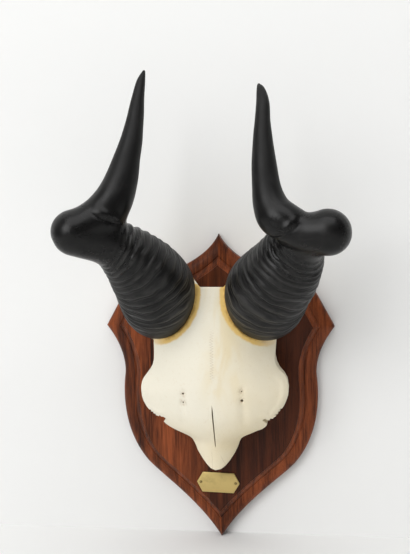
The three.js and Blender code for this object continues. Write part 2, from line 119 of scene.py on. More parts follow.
def colour_setting(name, description, default):
    return bpy.props.FloatVectorProperty(name=name, description=description, subtype="COLOR", size=3, default=default)


def length_setting(name, description, millimetres):
    return bpy.props.FloatProperty(
        name=name, description=description, default=millimetres * MM, subtype="DISTANCE", unit="LENGTH")


def number_setting(name, description, default):
    return bpy.props.FloatProperty(name=name, description=description, default=default)


class BoardSettings(bpy.types.PropertyGroup):
    edge_steps: bpy.props.IntProperty(name="Edge steps", description="Points along each edge of the shield", default=64)
    # The dark grain colour is also used for the painted shadow on the panel's right
    dark: colour_setting("Dark grain", "Colour of the darkest streaks", (0.02, 0.0065, 0.004))
    light: colour_setting("Light grain", "Colour of the reddest streaks", (0.26, 0.066, 0.022))


class BoneSettings(bpy.types.PropertyGroup):
    voxel: length_setting("Fineness", "Size of the bone's smallest surface step", 0.85)
    thinning: number_setting("Thinning", "Share of the bone's faces that is kept", 0.62)
    ivory: colour_setting("Ivory", "Colour of the clean bone", (0.82, 0.775, 0.65))
    stain: colour_setting("Stain", "Colour of the grease stain", (0.76, 0.63, 0.38))
    rim_band: colour_setting("Rim band", "Colour of the bone beside the horns", (0.78, 0.53, 0.17))
    # This colour is partly real blotches and partly painted shade beside the horn's rim
    rim_blotch_and_shade: colour_setting("Rim core", "Colour of the band's darker blotches", (0.42, 0.2, 0.035))
    band_width: length_setting("Band width", "Width of the ochre band beside the horns", 6.5)


class HornSettings(bpy.types.PropertyGroup):
    voxel: length_setting("Fineness", "Size of the horn's smallest surface step", 0.8)
    ring_spacing: length_setting("Ring spacing", "Distance from one ring to the next at the base", 10.5)
    ring_height: length_setting("Ring height", "Height of a ring above the groove beside it", 1.7)
    black: colour_setting("Black", "Colour of the horn", (0.0045, 0.0043, 0.0042))
    # Besides wear, this colour paints the highlight on the ring crests
    worn_and_highlight: colour_setting("Worn", "Colour of worn crests and dry patches", (0.048, 0.046, 0.044))


class MetalSettings(bpy.types.PropertyGroup):
    brass: colour_setting("Brass", "Colour of the label", (0.62, 0.47, 0.19))
    steel: colour_setting("Steel", "Colour of the hanger and screws", (0.55, 0.55, 0.56))


class StageSettings(bpy.types.PropertyGroup):
    pale: colour_setting("Pale", "Colour of the floor and wall", (0.82, 0.82, 0.81))
    key_power: number_setting("Key light", "Power of the large soft light", 180)
    top_power: number_setting("Top light", "Power of the light overhead", 30)
    rear_power: number_setting("Rear light", "Power of the light behind the wall", 20)
    sky: number_setting("Sky", "Strength of the even white light", 0.14)


class Wire:
    """A socket of one finish, so that shader maths reads as plain expressions."""

    def __init__(self, finish, socket):
        self.finish = finish
        self.socket = socket

    def maths(self, operation, *others):
        return self.finish.node("ShaderNodeMath", {"operation": operation}, dict(enumerate((self, *others))))

    def __add__(self, other):
        return self.maths("ADD", other)

    def __sub__(self, other):
        return self.maths("SUBTRACT", other)

    def __rsub__(self, other):
        return self.finish.node("ShaderNodeMath", {"operation": "SUBTRACT"}, {0: other, 1: self})

    def __mul__(self, other):
        return self.maths("MULTIPLY", other)

    def __pow__(self, other):
        return self.maths("POWER", other)

    def __abs__(self):
        return self.maths("ABSOLUTE")

    __radd__ = __add__
    __rmul__ = __mul__

    def within(self, low, high):
        """0 below low, 1 above high and smooth in between; low may be the larger."""
        return self.finish.node(
            "ShaderNodeMapRange", {"interpolation_type": "SMOOTHSTEP"},
            {"Value": self, "From Min": low, "From Max": high})


class Finish:
    """One procedural material. Its maths is written with Wire, its other nodes come from node()."""

    def __init__(self, name):
        self.material = bpy.data.materials.new(name)
        self.material.use_nodes = True
        self.tree = self.material.node_tree
        self.tree.nodes.clear()
        self.output = self.tree.nodes.new("ShaderNodeOutputMaterial")

    def node(self, kind, settings=None, values=None, output=None):
        """Adds a node, sets it, then fills its sockets with values or wires. Returns one output as a wire."""
        node = self.tree.nodes.new(kind)
        for key, value in (settings or {}).items():
            if key == "stops":
                self.set_stops(node.color_ramp, value)
            else:
                setattr(node, key, value)
        for key, value in (values or {}).items():
            socket = self.find(node.inputs, key)
            if isinstance(value, Wire):
                self.tree.links.new(value.socket, socket)
            else:
                socket.default_value = value
        return Wire(self, self.find(node.outputs, 0 if output is None else output))

    @staticmethod
    def find(sockets, key):
        if isinstance(key, int):
            return sockets[key]
        return next(s for s in sockets if s.identifier == key or (s.name == key and s.enabled))

    @staticmethod
    def set_stops(ramp, stops):
        while len(ramp.elements) < len(stops):
            ramp.elements.new(1)
        for element, (position, colour) in zip(ramp.elements, stops):
            element.position = position
            element.color = (*colour, 1)

    def place(self, stretch=(1, 1, 1), centre=(0, 0, 0)):
        """Object coordinates in millimetres from a centre, each axis multiplied by its stretch."""
        coordinates = self.node("ShaderNodeTexCoord", output="Object")
        scale = [s / MM for s in stretch]
        location = [-c * s for c, s in zip(centre, stretch)]
        return self.node("ShaderNodeMapping", None, {"Vector": coordinates, "Location": location, "Scale": scale})

    def axes(self, vector):
        parts = self.node("ShaderNodeSeparateXYZ", None, {"Vector": vector})
        return [Wire(self, s) for s in parts.socket.node.outputs]

    def noise(self, vector, scale=1.0, detail=2.0, roughness=0.5, distortion=0.0):
        values = {"Vector": vector, "Scale": scale, "Detail": detail, "Roughness": roughness, "Distortion": distortion}
        return self.node("ShaderNodeTexNoise", None, values, "Fac")

    def attribute(self, name, output="Fac"):
        return self.node("ShaderNodeAttribute", {"attribute_name": name}, None, output)

    def blend(self, under, over, factor):
        under, over = (c if isinstance(c, Wire) else (*c, 1) for c in (under, over))
        values = {"Factor_Float": factor, "A_Color": under, "B_Color": over}
        return self.node("ShaderNodeMix", {"data_type": "RGBA"}, values, "Result_Color")

    def bump(self, height, distance, strength):
        """distance is the real height in millimetres that a height of 1 stands for."""
        return self.node("ShaderNodeBump", None, {"Height": height, "Distance": distance * MM, "Strength": strength})

    def surface(self, **values):
        named = {key.replace("_", " "): value for key, value in values.items()}
        shader = self.node("ShaderNodeBsdfPrincipled", None, named)
        self.tree.links.new(shader.socket, self.output.inputs["Surface"])
        return self.material


def mahogany_finish(settings):
    """Dark red-brown wood under satin varnish, its grain running up the shield, with painted light on the left of the
    panel and painted shadow of the skull and horns on its right.
    """
    f = Finish("mahogany")
    bend = f.noise(f.place((1, 1, 0.25)), 0.018, 1.0)
    grain_place = f.place((1, 0.35, 0.045))
    bands = f.noise(grain_place, 0.16, 3.0, 0.6, 0.6)
    streaks = f.noise(grain_place, 0.75, 4.0, 0.65, 0.2)
    pores = f.noise(f.place((1, 1, 0.05)), 2.6, 2.0, 0.5).within(0.58, 0.7)
    tone = (bands * 0.55 + streaks * 0.35 + bend * 0.25).within(0.38, 0.74)
    middle = tuple((a + b) * 0.42 for a, b in zip(settings.dark, settings.light))
    wood = f.node(
        "ShaderNodeValToRGB", {"stops": [(0.0, settings.dark), (0.5, middle), (1.0, settings.light)]},
        {"Fac": tone}, "Color")
    wood = f.blend(wood, settings.dark, pores * 0.65)
    x, y, _ = f.axes(f.place())
    panel = y.within(-SHIELD_THICKNESS + 1.5, -SHIELD_THICKNESS + 0.5)
    # Painted light and shade on the panel: shade rises from left to right across the panel
    shade = (x + bend * 40).within(-40, 35)
    # Painted light: the left of the panel is made warmer and brighter
    wood = f.blend(wood, (0.36, 0.09, 0.03), panel * (1 - shade) * tone * 0.6)
    # Painted shadow: the right of the panel is darkened as if shaded by the skull and horns
    wood = f.blend(wood, settings.dark, panel * shade * 0.72)
    rub = f.noise(f.place(), 0.05, 3.0, 0.6)
    height = streaks * 0.4 - pores
    return f.surface(
        Base_Color=wood, Roughness=rub * 0.2 + 0.26, Specular_IOR_Level=0.12, Normal=f.bump(height, 0.12, 0.6))


def bone_finish(settings):
    """Bleached bone with a grease stain, fine sutures, pores and an ochre band beside the horns."""
    f = Finish("bone")
    place = f.place()
    x, _, z = f.axes(place)
    cloud = f.noise(place, 0.035, 4.0, 0.6)
    fine = f.noise(place, 0.35, 4.0, 0.6)
    right = x.within(-18, 34) * 0.5
    streak = f.noise(f.place((1, 1, 0.4), (14, 0, 40)), 0.045, 3.0, 0.6, 0.6).within(0.4, 0.66)
    middle = (abs(x - 9) * -1).within(-30, -3) * z.within(-20, 30)
    low = z.within(0, -50) * 0.55
    stain = right * (cloud * 0.8 + 0.3) + streak * middle * 0.45 + low * (cloud * 0.7 + 0.4)
    base = f.blend(settings.ivory, settings.stain, stain)
    base = f.blend(base, (0.66, 0.52, 0.33), fine.within(0.56, 0.76) * 0.22)
    hollow = f.attribute("hollow")
    blotch = f.noise(place, 0.5, 3.0, 0.65).within(0.42, 0.62)
    base = f.blend(base, (0.36, 0.22, 0.1), hollow ** 1.6 * (blotch * 0.6 + 0.06))
    zigzag = f.node("ShaderNodeMath", {"operation": "PINGPONG"}, {0: z + cloud * 6, 1: 1.3}) - 0.65
    wander = f.noise(f.place((0.1, 0.1, 1)), 0.1, 2.0) * 6 - 3
    seam = (abs(x + zigzag * 2.4 + wander * 0.5 + 0.4) * -1).within(-0.8, -0.1) * z.within(24, 34) * z.within(84, 66)
    nose_seam = (abs(x + z * 0.4 + 17.5) * -1).within(-0.45, -0.1) * z.within(-54, -58) * x.within(3.5, 6)
    tip_seam = (abs(x + 3.2 + fine * 1.5) * -1).within(-0.4, -0.1) * z.within(-50, -54)
    marks = seam * 0.32 + (nose_seam + tip_seam) * 0.22
    base = f.blend(base, (0.3, 0.2, 0.11), marks)
    rim_distance = f.attribute("rim_distance")
    ragged = f.noise(place, 0.22, 3.0, 0.6) * 2.6 - 1.3
    width = settings.band_width / MM
    band = (rim_distance + ragged).within(width, width * 0.62) * f.attribute("band_side")
    # Darker towards the horn's rim: partly real blotchy staining, partly painted shade in the crease under the rim
    deep = (rim_distance + ragged * 1.4).within(width * 0.55, width * 0.1)
    deep = deep * f.noise(place, 0.18, 3.0).within(0.35, 0.62) * 0.55
    band_tone = f.blend(settings.rim_band, settings.rim_blotch_and_shade, deep)
    base = f.blend(base, band_tone, band)
    speck = f.noise(place, 1.4, 3.0, 0.7).within(0.62, 0.74)
    base = f.blend(base, (0.25, 0.16, 0.09), speck * (f.attribute("edge") * 0.6 + 0.07))
    height = fine * 0.5 + f.noise(place, 1.1, 3.0, 0.6) * 0.35 - speck * 0.6 - marks * 2
    return f.surface(
        Base_Color=base, Roughness=fine * 0.2 + 0.48, Specular_IOR_Level=0.3, Normal=f.bump(height, 0.22, 0.7))


def horn_finish(settings):
    """Black horn: fine uneven lines and lighter crests on the rings, partly wear and partly painted highlight,
    lengthwise fibres towards the tip.
    """
    f = Finish("horn")
    place = f.place()
    ringed = f.attribute("ringed")
    crest = f.attribute("crest")
    smooth = 1 - ringed
    lines = f.noise(f.attribute("ring_place", "Vector"), 1.0, 3.0, 0.6)
    fibres = f.noise(f.attribute("fibre_place", "Vector"), 1.0, 4.0, 0.65)
    cloud = f.noise(place, 0.06, 4.0, 0.6)
    fine = f.noise(place, 0.9, 3.0, 0.6)
    sharp_lines = lines.within(0.4, 0.68)
    # Lighter crests and lines on the rings: partly real wear, partly painted highlight where light catches the crests;
    # the fibres and dry patches on the smooth part are wear
    wear_and_crest_highlight = ringed * (crest * cloud.within(0.3, 0.65) * 0.42 + sharp_lines * cloud * 0.42)
    wear_and_crest_highlight = wear_and_crest_highlight + smooth * (fibres.within(0.55, 0.75) * 0.16 + cloud.within(0.5, 0.8) * 0.12)
    base = f.blend(settings.black, settings.worn_and_highlight, wear_and_crest_highlight)
    base = f.blend(base, (0.04, 0.03, 0.018), f.attribute("rim") * fine * 0.8)
    polish = f.attribute("polish")
    rough = 0.44 - polish * 0.21 - ringed * 0.1 + cloud.within(0.35, 0.7) * 0.1 + fibres * 0.06
    height = smooth * (fibres * 0.5 + fine * 0.12) + ringed * (lines * 1.3 + fine * 0.25)
    return f.surface(
        Base_Color=base, Roughness=rough, Specular_IOR_Level=0.22, Normal=f.bump(height, 0.4, 0.55))


def brushed_metal_finish(name, colour, stretch, scratch=0.35, roughness=0.3):
    """Metal brushed along the axis whose stretch is smallest."""
    f = Finish(name)
    lines = f.noise(f.place(stretch), 2.2, 4.0, 0.7)
    dull = f.noise(f.place(), 0.09, 4.0, 0.6)
    tone = f.blend(colour, tuple(c * 0.55 for c in colour), dull.within(0.45, 0.8) * 0.55)
    return f.surface(
        Base_Color=tone, Metallic=1.0, Roughness=lines * 0.2 + dull * 0.12 + roughness - 0.1,
        Normal=f.bump(lines, 0.05, scratch))


def floor_finish(colour):
    """Matt pale paint with a faint unevenness."""
    f = Finish("floor_paint")
    shade = f.noise(f.place(), 0.004, 2.0)
    base = f.blend(colour, tuple(c * 0.97 for c in colour), shade)
    return f.surface(Base_Color=base, Roughness=0.85, Specular_IOR_Level=0.2)


# Mesh helpers


def linked(name, data):
    """A new object in the scene."""
    obj = bpy.data.objects.new(name, data)
    bpy.context.scene.collection.objects.link(obj)
    return obj


def shown(name, mesh, material, node, crisp_angle):
    """A finished piece that rides on the part and stands for one solid; edges sharper than the angle stay crisp."""
    obj = linked(name, mesh)
    mesh.materials.clear()
    mesh.materials.append(material)
    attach(obj, "root")
    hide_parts(node)
    mesh.shade_smooth()
    mesh.set_sharp_from_angle(angle=math.radians(crisp_angle))


def mesh_from(bm, name):
    """The bmesh as a mesh datablock, as it stands."""
    mesh = bpy.data.meshes.new(name)
    bm.to_mesh(mesh)
    bm.free()
    return mesh


def mesh_of(bm, name):
    """The bmesh as a mesh datablock in metres, with its faces pointing outwards."""
    bmesh.ops.recalc_face_normals(bm, faces=bm.faces)
    bmesh.ops.scale(bm, vec=(MM, MM, MM), verts=bm.verts)
    return mesh_from(bm, name)


def with_modifiers(mesh, *modifiers):
    """The mesh after the modifiers, each a type and its settings."""
    obj = linked("work", mesh)
    for kind, settings in modifiers:
        modifier = obj.modifiers.new(kind, kind)
        for key, value in settings.items():
            setattr(modifier, key, value)
    bpy.context.view_layer.update()
    result = bpy.data.meshes.new_from_object(obj.evaluated_get(bpy.context.evaluated_depsgraph_get()))
    bpy.data.objects.remove(obj)
    return result


def skinned(mesh, voxel, smoothing=8):
    """One even closed skin around everything in the mesh."""
    return with_modifiers(
        mesh, ("REMESH", {"mode": "VOXEL", "voxel_size": voxel, "use_smooth_shade": True}),
        ("SMOOTH", {"factor": 0.5, "iterations": smoothing}))


def combined(mesh, operation, cutter):
    """The mesh joined with or cut by another one."""
    tool = linked("cutter", cutter)
    result = with_modifiers(mesh, ("BOOLEAN", {"operation": operation, "object": tool, "solver": "EXACT"}))
    bpy.data.objects.remove(tool)
    return result


def cut(mesh, *cutters):
    """The mesh after each cutter in turn has taken its share away."""
    for cutter in cutters:
        mesh = combined(mesh, "DIFFERENCE", cutter)
    return mesh


def places_of(mesh):
    """The vertex places in millimetres."""
    co = np.empty(len(mesh.vertices) * 3, np.float32)
    mesh.vertices.foreach_get("co", co)
    return co.reshape(-1, 3).astype(float) / MM


def set_places(mesh, places):
    mesh.vertices.foreach_set("co", (places * MM).astype(np.float32).ravel())
    mesh.update()


def set_attribute(mesh, name, values, kind="FLOAT"):
    attribute = mesh.attributes.new(name, kind, "POINT")
    attribute.data.foreach_set("vector" if kind == "FLOAT_VECTOR" else "value", values.astype(np.float32).ravel())


def smooth_step(values, low, high):
    t = np.clip((values - low) / (high - low), 0, 1)
    return t * t * (3 - 2 * t)


def clouds(places, size, seed=0.0):
    """Smooth noise from -1 to 1 at each place, with lumps of the given size."""
    shift = Vector((seed, seed * 0.7, -seed))
    return np.array([noise.noise(Vector(p) / size + shift) for p in places])


def flowing(stations, count):
    """A smooth row of count stations through the given ones."""
    rows = np.array(stations, float)
    rows = np.vstack([2 * rows[0] - rows[1], rows, 2 * rows[-1] - rows[-2]])
    made = []
    for t in np.linspace(0, len(stations) - 1, count):
        i = min(int(t), len(stations) - 2)
        a, b, c, d = rows[i:i + 4]
        u = t - i
        bend, twist = 2 * a - 5 * b + 4 * c - d, 3 * b - a - 3 * c + d
        made.append(0.5 * (2 * b + (c - a) * u + bend * u ** 2 + twist * u ** 3))
    return np.array(made)


def centres_and_radii(stations, side, count, grow=0.0):
    rows = flowing(stations, count)
    return np.stack([side * rows[:, 0], -rows[:, 2], rows[:, 1]], 1), rows[:, 3] + grow


def add_tube(bm, centres, radii, around, round_start=False, round_end=False):
    """A closed round body along the centres, with half-ball ends where asked."""
    tangents = np.gradient(centres, axis=0)
    tangents /= np.linalg.norm(tangents, axis=1)[:, None]
    slices = [(Vector(c), Vector(t), r) for c, t, r in zip(centres, tangents, radii)]
    shares = [math.sin(math.radians(a)) for a in range(15, 90, 15)]

    def ball_end(centre, along, radius, sign):
        return [(centre + along * radius * s * sign, along, radius * math.sqrt(1 - s * s)) for s in shares]

    if round_start:
        slices = ball_end(*slices[0], -1)[::-1] + slices
    if round_end:
        slices = slices + ball_end(*slices[-1], 1)
    across = Vector((0, 0, 1))
    rings = []
    for centre, along, radius in slices:
        across = (across - along * across.dot(along)).normalized()
        basis = Matrix((across, along.cross(across), along)).transposed().to_4x4()
        made = bmesh.ops.create_circle(
            bm, segments=around, radius=radius, matrix=Matrix.Translation(centre) @ basis)
        rings.append(list({e for v in made["verts"] for e in v.link_edges}))
    for ring, following in zip(rings, rings[1:]):
        bmesh.ops.bridge_loops(bm, edges=ring + following)
    for end in (rings[0], rings[-1]):
        bmesh.ops.contextual_create(bm, geom=end)


def cut_behind(bm, point, normal):
    """Takes away what lies on the normal's side of a plane and closes the cut."""
    geometry = bm.verts[:] + bm.edges[:] + bm.faces[:]
    cut = bmesh.ops.bisect_plane(bm, geom=geometry, plane_co=point, plane_no=normal, clear_outer=True, dist=1e-5)
    edges = [e for e in cut["geom_cut"] if isinstance(e, bmesh.types.BMEdge)]
    bmesh.ops.edgenet_fill(bm, edges=edges)


def prism(outline, front, back):
    """A solid with a front-view outline of x and z, from one depth in front of the wall to another."""
    bm = bmesh.new()
    made = bmesh.ops.create_circle(bm, segments=len(outline), radius=1, cap_ends=True)
    for vert, (x, z) in zip(made["verts"], outline):
        vert.co = (x, -front, z)
    grown = bmesh.ops.extrude_face_region(bm, geom=bm.faces[:])
    verts = [v for v in grown["geom"] if isinstance(v, bmesh.types.BMVert)]
    bmesh.ops.translate(bm, vec=(0, front - back, 0), verts=verts)
    return mesh_of(bm, "prism")


def turned(profile, centre, around, bm=None):
    """A turned body whose profile gives radius and depth, spun about an axis square to the wall."""
    bm = bm or bmesh.new()
    start = len(bm.verts)
    verts = [bm.verts.new((centre[0] + r, -depth, centre[1])) for r, depth in profile]
    edges = [bm.edges.new(pair) for pair in zip(verts, verts[1:])]
    bmesh.ops.spin(
        bm, geom=verts + edges, cent=(centre[0], 0, centre[1]), axis=(0, 1, 0), angle=math.tau, steps=around,
        use_merge=True)
    bm.verts.ensure_lookup_table()
    bmesh.ops.remove_doubles(bm, verts=bm.verts[start:], dist=1e-4)
    return bm


def ellipsoid(centre, radii):
    """A ball with its own radius along x, depth and z."""
    bm = bmesh.new()
    bmesh.ops.create_uvsphere(bm, u_segments=48, v_segments=32, radius=1)
    bmesh.ops.scale(bm, vec=radii, verts=bm.verts)
    bmesh.ops.translate(bm, vec=(centre[0], -centre[1], centre[2]), verts=bm.verts)
    return mesh_of(bm, "ellipsoid")


# Shield


def curve_points(places, count=40):
    """Points along a straight, quadratic or cubic stretch, without its last one."""
    p = [Vector((x, z)) for x, z in places]
    if len(p) == 2:
        p = [p[0], p[0].lerp(p[1], 1 / 3), p[0].lerp(p[1], 2 / 3), p[1]]
    if len(p) == 3:
        p = [p[0], p[0].lerp(p[1], 2 / 3), p[2].lerp(p[1], 2 / 3), p[2]]
    return [Vector(v[:2]) for v in interpolate_bezier(*p, count + 1)][:-1]


def respaced(points, count):
    """count + 1 evenly spaced points along a broken line."""
    line = np.array(points)
    length = np.concatenate([[0], np.cumsum(np.linalg.norm(np.diff(line, axis=0), axis=1))])
    at = np.linspace(0, length[-1], count + 1)
    return np.stack([np.interp(at, length, line[:, k]) for k in (0, 1)], 1)


def upper_edge():
    stretches = [
        ((0, SHIELD_TOP), (10.5, 142.5), (50, 125.5)),
        ((50, 125.5), (72, 116), (94, 116), (103, 99.6)),
        ((103, 99.6), SHIELD_EAR),
    ]
    return [p for s in stretches for p in curve_points(s)] + [Vector(SHIELD_EAR)]


def lower_edge():
    stretches = [
        (SHIELD_EAR, (101, 43), (101.5, 18)),
        ((101.5, 18), (106.5, -16), (101, -52), (80, -78.5)),
        ((80, -78.5), (65.5, -95.5), (25.5, -122), (0, SHIELD_TIP)),
    ]
    return [p for s in stretches for p in curve_points(s)] + [Vector((0, SHIELD_TIP))]


def inwards_from(line):
    """The direction square to a broken line at each of its points, to the right of its run."""
    run = np.gradient(line, axis=0)
    inwards = np.stack([run[:, 1], -run[:, 0]], 1)
    return inwards / np.linalg.norm(inwards, axis=1)[:, None]


def moved_in(edge, distance):
    """An edge moved inwards and drawn out straight at both ends."""
    line = np.array(edge)
    line = line + inwards_from(line) * distance
    drawn_out = 40
    ends = ((line[0], line[1]), (line[-1], line[-2]))
    first, last = (a + (a - b) / np.linalg.norm(a - b) * drawn_out for a, b in ends)
    return np.vstack([first, line, last])


def crossing(edge, cutter):
    """Where one broken line first crosses another: the stretch's number and the point."""
    for i, (a, b) in enumerate(zip(edge, edge[1:])):
        run, cuts = b - a, cutter[1:] - cutter[:-1]
        scale = run[0] * cuts[:, 1] - run[1] * cuts[:, 0]
        gap = cutter[:-1] - a
        safe = np.where(abs(scale) < 1e-9, 1e-9, scale)
        along = (gap[:, 0] * cuts[:, 1] - gap[:, 1] * cuts[:, 0]) / safe
        across = (gap[:, 0] * run[1] - gap[:, 1] * run[0]) / safe
        hit = (along >= 0) & (along <= 1) & (across >= 0) & (across <= 1)
        if hit.any():
            return i, a + run * along[hit][0]
    raise RuntimeError("two edges of the shield do not meet")


def shield_outline(inset, steps):
    """The whole outline moved inwards, mitred at the top, the ears and the tip."""
    upper, lower = moved_in(upper_edge(), inset), moved_in(lower_edge(), inset)
    middle = np.array([[0, SHIELD_TOP * 2], [0, SHIELD_TIP * 2]])

    def mitred(edge, before, after):
        (i, start), (k, end) = crossing(edge, before), crossing(edge, after)
        return respaced([start, *edge[i + 1:k + 1], end], steps)

    right = np.vstack([mitred(upper, middle, lower)[:-1], mitred(lower, upper, middle)])
    left = right[1:-1][::-1] * (-1, 1)
    return np.vstack([right, left])


# From the back edge to the raised panel: how far in, and how deep in front of the wall
MOULDING = (
    (0.6, 0), (0, 0.6), (0, SHIELD_SIDE - 0.5), (0.2, SHIELD_SIDE + 0.4), (0.8, SHIELD_SIDE + 1.4),
    (1.9, SHIELD_SIDE + 2.7), (3.4, SHIELD_SIDE + 3.9), (5.3, SHIELD_SIDE + 5.0), (7.6, SHIELD_SIDE + 5.8),
    (10.0, SHIELD_SIDE + 6.3), (12.0, SHIELD_SIDE + 6.5), (12.6, SHIELD_SIDE + 6.2), (13.0, SHIELD_SIDE + 6.2),
    (13.4, SHIELD_SIDE + 7.0), (14.2, SHIELD_SIDE + 8.4), (15.4, SHIELD_SIDE + 10.0), (16.8, SHIELD_SIDE + 11.5),
    (18.0, SHIELD_SIDE + 12.7), (18.6, SHIELD_SIDE + 13.1), (18.8, SHIELD_SIDE + 13.6), (19.0, SHIELD_THICKNESS - 0.3),
    (19.4, SHIELD_THICKNESS),
)


def board_mesh(settings):
    bm = bmesh.new()
    rings = []
    for inset, depth in MOULDING:
        outline = shield_outline(inset, settings.edge_steps)
        if not rings:
            made = bmesh.ops.create_circle(bm, segments=len(outline), radius=1)
            verts = made["verts"]
            edges = [bm.edges.get((a, b)) for a, b in zip(verts, verts[1:] + verts[:1])]
        else:
            grown = bmesh.ops.extrude_edge_only(bm, edges=rings[-1])
            new = {v for v in grown["geom"] if isinstance(v, bmesh.types.BMVert)}
            verts = [next(e.other_vert(v) for e in v.link_edges if e.other_vert(v) in new) for v in verts]
            edges = [bm.edges.get((a, b)) for a, b in zip(verts, verts[1:] + verts[:1])]
        for vert, (x, z) in zip(verts, outline):
            vert.co = (x, -depth, z)
        rings.append(edges)
    for end in (rings[0], rings[-1]):
        bmesh.ops.contextual_create(bm, geom=end)
    return cut(mesh_of(bm, "board"), *board_cutters())


def disc(centre, radius, front, back, around=48):
    return mesh_of(turned([(0, back), (radius, back), (radius, front), (0, front)], centre, around), "disc")


def slot_shape(centre, length, height, corner_steps=12):
    """A rectangle with round ends, as x and z points."""
    radius = height / 2
    half = length / 2 - radius
    angles = [math.pi * (k / corner_steps - 0.5) for k in range(corner_steps + 1)]
    right = [(centre[0] + half + radius * math.cos(a), centre[1] + radius * math.sin(a)) for a in angles]
    left = [(centre[0] - half - radius * math.cos(a), centre[1] - radius * math.sin(a)) for a in angles]
    return right + left


def rectangle(centre, length, height):
    x, z = centre
    return [(x + sx * length / 2, z + sz * height / 2) for sx, sz in ((-1, -1), (1, -1), (1, 1), (-1, 1))]


HANGER = {"length": 42, "height": 16, "thickness": 1.6}
NAIL_SPACE = {"length": 18, "height": 11, "depth": 9}
HANGER_SCREW = {"head": 3.2, "shank": 1.6, "length": 14, "spacing": 32}
THREAD_PITCH = 1.1
SKULL_SCREW = {"head": 4.6, "shank": 2.2, "length": 38, "recess": 2.5}


def board_cutters():
    """The holes in the back: counterbores for the bone's screws, the hanger's seat and the nail space."""
    for centre in SKULL_SCREWS.values():
        head_floor = SKULL_SCREW["recess"] + SKULL_SCREW["head"] - SKULL_SCREW["shank"] + TOUCH_GAP
        yield disc(centre, SKULL_SCREW["head"] + TOUCH_GAP, head_floor, -1)
    seat = rectangle((0, HANGER_Z), HANGER["length"] + 2 * TOUCH_GAP, HANGER["height"] + 2 * TOUCH_GAP)
    yield prism(seat, HANGER["thickness"] + TOUCH_GAP, -1)
    yield prism(rectangle((0, HANGER_Z), NAIL_SPACE["length"], NAIL_SPACE["height"]), NAIL_SPACE["depth"], -1)


# Label

LABEL_CENTRE = (-1.6, -97.7)
LABEL_TURN = math.radians(-1.8)
LABEL_THICKNESS = 1.2
LABEL_CORNERS = ((-22.7, 0), (-16.6, -10.9), (16.6, -10.9), (22.7, 0), (16.6, 10.9), (-16.6, 10.9))
PIN_SPACING = 37


def label_place(along, up):
    c, s = math.cos(LABEL_TURN), math.sin(LABEL_TURN)
    return LABEL_CENTRE[0] + along * c - up * s, LABEL_CENTRE[1] + along * s + up * c


def bevelled(mesh, width, segments=3, angle=30):
    return with_modifiers(mesh, ("BEVEL", {
        "width": width * MM, "segments": segments, "limit_method": "ANGLE", "angle_limit": math.radians(angle),
        "harden_normals": False}))


def label_mesh():
    outline = [label_place(*corner) for corner in LABEL_CORNERS]
    back = SHIELD_THICKNESS + TOUCH_GAP
    return bevelled(prism(outline, back + LABEL_THICKNESS, back), 0.3)


def pin_mesh(side):
    seat = SHIELD_THICKNESS + LABEL_THICKNESS + 2 * TOUCH_GAP
    dome = [(1.5 * math.cos(a), seat + 0.1 + 0.7 * math.sin(a)) for a in (math.radians(d) for d in range(0, 90, 15))]
    profile = [(0, seat), (1.4, seat), *dome, (0, seat + 0.8)]
    return mesh_of(turned(profile, label_place(side * PIN_SPACING / 2, 0), 32), "pin")


# Fixings in the back


def screw_mesh(centre, size, back_of_head):
    """A countersunk screw with a turned thread and a drive slot."""
    head, shank, length = size["head"], size["shank"], size["length"]
    neck = back_of_head + head - shank
    profile = [(0, back_of_head), (head - 0.2, back_of_head), (head, back_of_head + 0.2), (shank, neck)]
    turns = int((length * 0.6) / THREAD_PITCH)
    thread_start = back_of_head + length - 2 * shank - turns * THREAD_PITCH
    for k in range(turns):
        profile += [(shank, thread_start + k * THREAD_PITCH), (shank * 0.78, thread_start + (k + 0.5) * THREAD_PITCH)]
    profile += [(shank, back_of_head + length - 2 * shank), (0, back_of_head + length)]
    body = mesh_of(turned(profile, centre, 40), "screw")
    slot = prism(rectangle(centre, head * 1.5, head * 0.28), back_of_head + 1, back_of_head - 1)
    return cut(body, slot)


def hanger_screw_place(side):
    return SIDES[side] * HANGER_SCREW["spacing"] / 2, HANGER_Z


def hanger_mesh():
    """A steel plate with round ends, a keyhole and two countersunk holes."""
    plate = prism(slot_shape((0, HANGER_Z), HANGER["length"], HANGER["height"]), HANGER["thickness"], 0)
    head_z, past = HANGER_Z - 2.5, HANGER["thickness"] + 1
    plate = cut(plate, disc((0, head_z), 3.54, past, -1), prism(rectangle((0, head_z + 3), 2.4, 6), past, -1))
    for side in SIDES:
        plate = cut(plate, disc(hanger_screw_place(side), HANGER_SCREW["head"] + TOUCH_GAP, 3, -1))
    return bevelled(plate, 0.25, 2)


# Horns

RING_TILT = 0.08
RIM_SMOOTH = (13, 24)
RIM_ROUND = 2.2
ELBOW_FILLET = 14
ELBOW_SOFTENING = 70

# Folds in the front of the elbows: their line in x and z, their depth, and how deep and high they are
FOLDS = {
    "left": {
        "line": ((-65, 186.6), (-74.8, 188.4), (-88, 193.8), (-96.8, 199.1)), "depth": 158, "groove": 1.2, "lip": 1.1,
    },
    "right": {
        "line": ((55.9, 176.7), (65.4, 175), (73.9, 177.5), (80.8, 183.5), (85.9, 187.8)), "depth": 160, "groove": 1.5,
        "lip": 1.4,
    },
}


def rim_plane(side, clearance=0.0):
    """A point on the plane in which a horn's rim lies, and the direction away from the horn."""
    turn = side * math.atan(RIM_PLANE_SLOPE)
    return Vector((0, -(RIM_PLANE_DEPTH + clearance), 0)), Vector((-math.sin(turn), math.cos(turn), 0))


